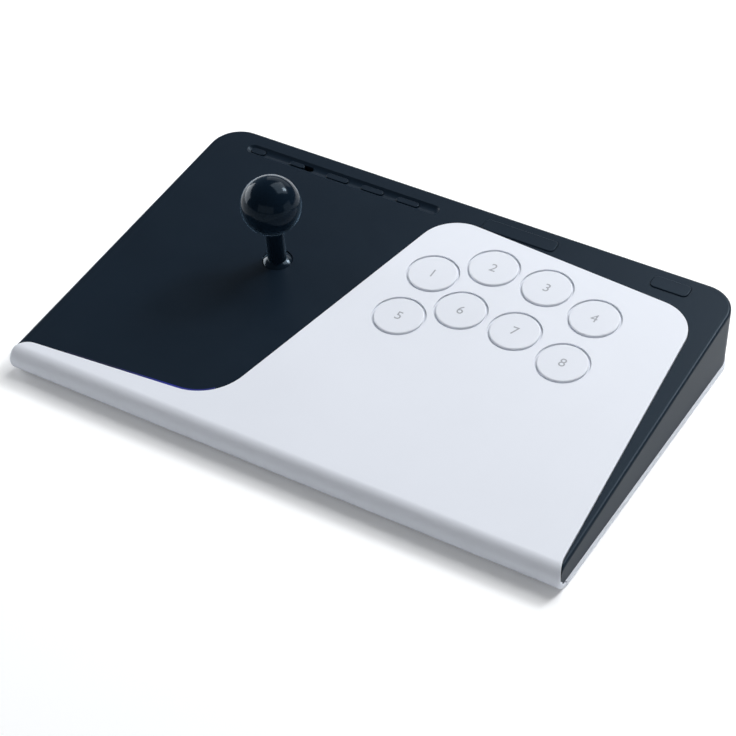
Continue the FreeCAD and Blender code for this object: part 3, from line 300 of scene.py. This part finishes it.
def deck_place(point):
    """Matrix that lays a flat piece on the deck at a point."""
    turn = Matrix((deck_right, deck_back, deck_up)).transposed()
    return Matrix.Translation(point) @ turn.to_4x4()


def top_middle(name):
    """Middle of a node's top, measured along the deck normal."""
    points = [vertex.co for vertex in nodes[name].data.vertices]
    high = max(point.dot(deck_up) for point in points)
    across = [point.x for point in points]
    along = [point.dot(deck_back) for point in points]
    middle = deck_right * (min(across) + max(across)) / 2 + deck_back * (min(along) + max(along)) / 2
    return middle + deck_up * high


def numeral(text, name, point, body):
    """Printed numeral, a film that stands on the cap, twice FILM_HALF thick."""
    curve = bpy.data.curves.new(name, "FONT")
    curve.body = text
    curve.size = NUMERAL_SIZE
    curve.align_x = "CENTER"
    curve.align_y = "CENTER"
    curve.extrude = FILM_HALF
    draft = bpy.data.objects.new(name + "_draft", curve)
    bpy.context.scene.collection.objects.link(draft)
    bpy.context.view_layer.update()
    mesh = bpy.data.meshes.new_from_object(draft.evaluated_get(bpy.context.evaluated_depsgraph_get()))
    bpy.data.objects.remove(draft)
    low = [min(vertex.co[axis] for vertex in mesh.vertices) for axis in (0, 1)]
    high = [max(vertex.co[axis] for vertex in mesh.vertices) for axis in (0, 1)]
    mesh.transform(Matrix.Translation((-(low[0] + high[0]) / 2, -(low[1] + high[1]) / 2, 0)))
    mesh.transform(deck_place(point + deck_up * FILM_HALF))
    mesh.materials.clear()
    mesh.materials.append(legend_ink)
    piece = bpy.data.objects.new(name, mesh)
    bpy.context.scene.collection.objects.link(piece)
    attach(piece, body)


for index in range(1, BUTTON_COUNT + 1):
    numeral(str(index), f"legend_{index}", top_middle(f"button_cap_{index}"), f"button_{index}")


# Floor, light and camera

def make_floor():
    """Pale floor that keeps the shadow and shows white to the camera."""
    mesh = bpy.data.meshes.new("floor")
    corners = [(-FLOOR_REACH, -FLOOR_REACH, 0), (FLOOR_REACH, -FLOOR_REACH, 0),
               (FLOOR_REACH, FLOOR_REACH, 0), (-FLOOR_REACH, FLOOR_REACH, 0)]
    mesh.from_pydata(corners, [], [(0, 1, 2, 3)])
    floor = bpy.data.objects.new("floor", mesh)
    bpy.context.scene.collection.objects.link(floor)
    material, tree, shader = new_material("floor")
    shader.inputs["Roughness"].default_value = FLOOR_ROUGH
    shader.inputs["Specular IOR Level"].default_value = 0.0
    rays = tree.nodes.new("ShaderNodeLightPath").outputs
    seen = joined(tree, "MAXIMUM", rays["Is Camera Ray"], rays["Is Glossy Ray"])
    seen = joined(tree, "MAXIMUM", seen, rays["Is Transmission Ray"])
    tree.links.new(colour_mix(tree, seen, FLOOR_BOUNCE, FLOOR_SEEN), shader.inputs["Base Color"])
    away = tree.nodes.new("ShaderNodeVectorMath")
    away.operation = "LENGTH"
    tree.links.new(object_place(tree), away.inputs[0])
    fade = laid_out(tree, away.outputs["Value"], GLOW_FADE, GLOW_LEVELS)
    shader.inputs["Emission Color"].default_value = (1, 1, 1, 1)
    tree.links.new(joined(tree, "MULTIPLY", seen, fade), shader.inputs["Emission Strength"])
    mesh.materials.append(material)


def make_world():
    """Soft grey studio surround, lighter overhead."""
    world = bpy.data.worlds.new("studio")
    bpy.context.scene.world = world
    world.use_nodes = True
    tree = world.node_tree
    background = tree.nodes["Background"]
    place = tree.nodes.new("ShaderNodeTexCoord").outputs["Generated"]
    ramp = tree.nodes.new("ShaderNodeValToRGB")
    stops = ramp.color_ramp.elements
    stops[0].position = 0.0
    stops[0].color = (*SKY_LOW, 1)
    stops[1].position = 1.0
    stops[1].color = (*SKY_HIGH, 1)
    tree.links.new(axis_of(tree, place, "Z"), ramp.inputs["Fac"])
    tree.links.new(ramp.outputs["Color"], background.inputs["Color"])
    background.inputs["Strength"].default_value = SKY_STRENGTH


def make_softbox(name, place, size, share):
    """Soft box aimed at the part."""
    light = bpy.data.lights.new(name, "AREA")
    light.shape = "RECTANGLE"
    light.size, light.size_y = size
    light.color = LAMP_COLOUR
    offset = Vector(place) - LAMP_AIM
    light.energy = math.pi ** 2 * offset.length_squared * share
    lamp = bpy.data.objects.new(name, light)
    lamp.location = place
    lamp.rotation_euler = offset.to_track_quat("Z", "Y").to_euler()
    bpy.context.scene.collection.objects.link(lamp)


def make_camera():
    """Camera at the photograph's place."""
    camera_data = bpy.data.cameras.new("camera")
    camera_data.sensor_width = SENSOR_WIDTH
    camera_data.lens = LENS
    camera = bpy.data.objects.new("camera", camera_data)
    back = Vector((math.sin(AZIMUTH) * math.cos(ELEVATION), -math.cos(AZIMUTH) * math.cos(ELEVATION),
                   math.sin(ELEVATION)))
    camera.location = CAMERA_AIM + back * CAMERA_REACH
    camera.rotation_euler = back.to_track_quat("Z", "Y").to_euler()
    bpy.context.scene.collection.objects.link(camera)
    bpy.context.scene.camera = camera


make_floor()
make_world()
for lamp in LAMPS:
    make_softbox(*lamp)
make_camera()
bpy.context.scene.view_settings.view_transform = "Standard"
